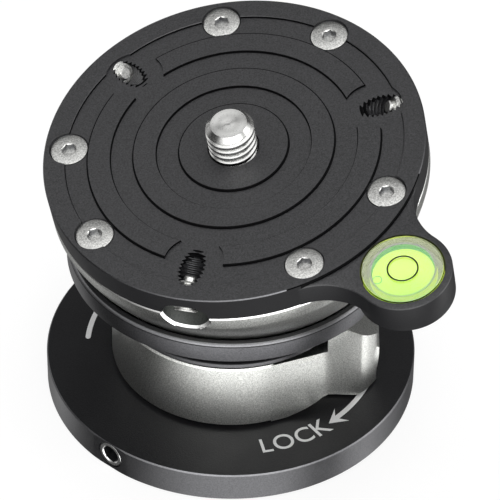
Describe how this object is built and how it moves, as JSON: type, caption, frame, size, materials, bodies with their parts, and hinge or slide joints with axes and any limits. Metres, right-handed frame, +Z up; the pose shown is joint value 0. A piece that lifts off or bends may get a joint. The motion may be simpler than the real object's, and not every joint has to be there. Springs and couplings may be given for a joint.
{
  "type": "leveling base",
  "caption": "Tripod leveling base: a half ball with a round plate, stud and bubble level leans in a cup on a disc base and is locked by a cam lever ring.",
  "frame": {"origin": "on the base's axis at its underside, where the tripod's screw enters", "axes": "+Z up along the base's axis; +X towards the lever's lobe at rest; the ear with the level lies towards +X and -Y"},
  "size_m": [0.0801, 0.0803, 0.0676],
  "materials": {
    "black_anodised": "fine matt black anodised, machined edges lighter",
    "silver_anodised": "bead blasted clear anodised",
    "stainless": "turned stainless steel",
    "dark_steel": "plain machined steel",
    "brass": "turned brass",
    "slip_plastic": "smooth low-friction plastic",
    "acrylic": "clear cast acrylic",
    "level_fluid": "bright yellow green fluid",
    "print_ink": "black printed line"
  },
  "bodies": {
    "base": {"base_disc": "black_anodised", "tripod_bush": "brass", "seat_cup": "black_anodised", "cup_screw_1": "dark_steel", "cup_screw_2": "dark_steel", "cup_screw_3": "dark_steel", "thrust_washer": "slip_plastic", "release_spring": "dark_steel"},
    "rim_screw": {"rim_set_screw": "stainless"},
    "lever": {"lever_ring": "silver_anodised"},
    "clamp": {"clamp_rod": "dark_steel", "cross_pin": "dark_steel", "rod_nut": "dark_steel", "spring_washer": "dark_steel"},
    "dome": {"pressure_dome": "silver_anodised"},
    "liner": {"slip_liner": "slip_plastic"},
    "head": {"half_ball": "silver_anodised", "top_plate": "black_anodised", "mounting_stud": "stainless", "plate_screw_1": "stainless", "plate_screw_2": "stainless", "plate_screw_3": "stainless", "plate_screw_4": "stainless", "plate_screw_5": "stainless", "plate_screw_6": "stainless", "vial_case": "acrylic", "vial_fluid": "level_fluid", "target_ring": "print_ink", "vial_lens": "acrylic"},
    "grub_1": {"grub_screw_1": "stainless"},
    "grub_2": {"grub_screw_2": "stainless"},
    "grub_3": {"grub_screw_3": "stainless"}
  },
  "joints": [
    {"name": "lever_turn", "type": "hinge", "parent": "base", "child": "lever", "pos_m": [0, 0, 0.01475], "axis": [0, 0, 1], "range_deg": [-10, 80]},
    {"name": "clamp_slide", "type": "slide", "parent": "base", "child": "clamp", "axis": [0, 0, 1], "range_m": [-0.0001, 0.00072]},
    {"name": "ball_heading", "type": "hinge", "parent": "base", "child": "dome", "pos_m": [0, 0, 0.0614], "axis": [0, 0, 1], "continuous": true},
    {"name": "ball_lean", "type": "hinge", "parent": "dome", "child": "liner", "pos_m": [0, 0, 0.0614], "axis": [0.7793, -0.6266, 0], "range_deg": [-27.95, 2.05]},
    {"name": "ball_turn", "type": "hinge", "parent": "liner", "child": "head", "pos_m": [0, 0, 0.0614], "axis": [-0.1404, -0.1747, 0.9746], "continuous": true},
    {"name": "grub_1_slide", "type": "slide", "parent": "head", "child": "grub_1", "axis": [-0.8753, -0.2878, 0.3887], "range_m": [0, 0.003]},
    {"name": "grub_2_slide", "type": "slide", "parent": "head", "child": "grub_2", "axis": [0.5055, -0.6922, 0.5151], "range_m": [0, 0.003]},
    {"name": "grub_3_slide", "type": "slide", "parent": "head", "child": "grub_3", "axis": [0.1373, 0.6908, 0.7099], "range_m": [0, 0.003]},
    {"name": "rim_screw_slide", "type": "slide", "parent": "base", "child": "rim_screw", "axis": [0.6388, 0.7694, 0], "range_m": [0, 0.003]}
  ],
  "couplings": [
    {"joint": "clamp_slide", "follows": "lever_turn", "m_per_rad": 0.0005093}
  ]
}
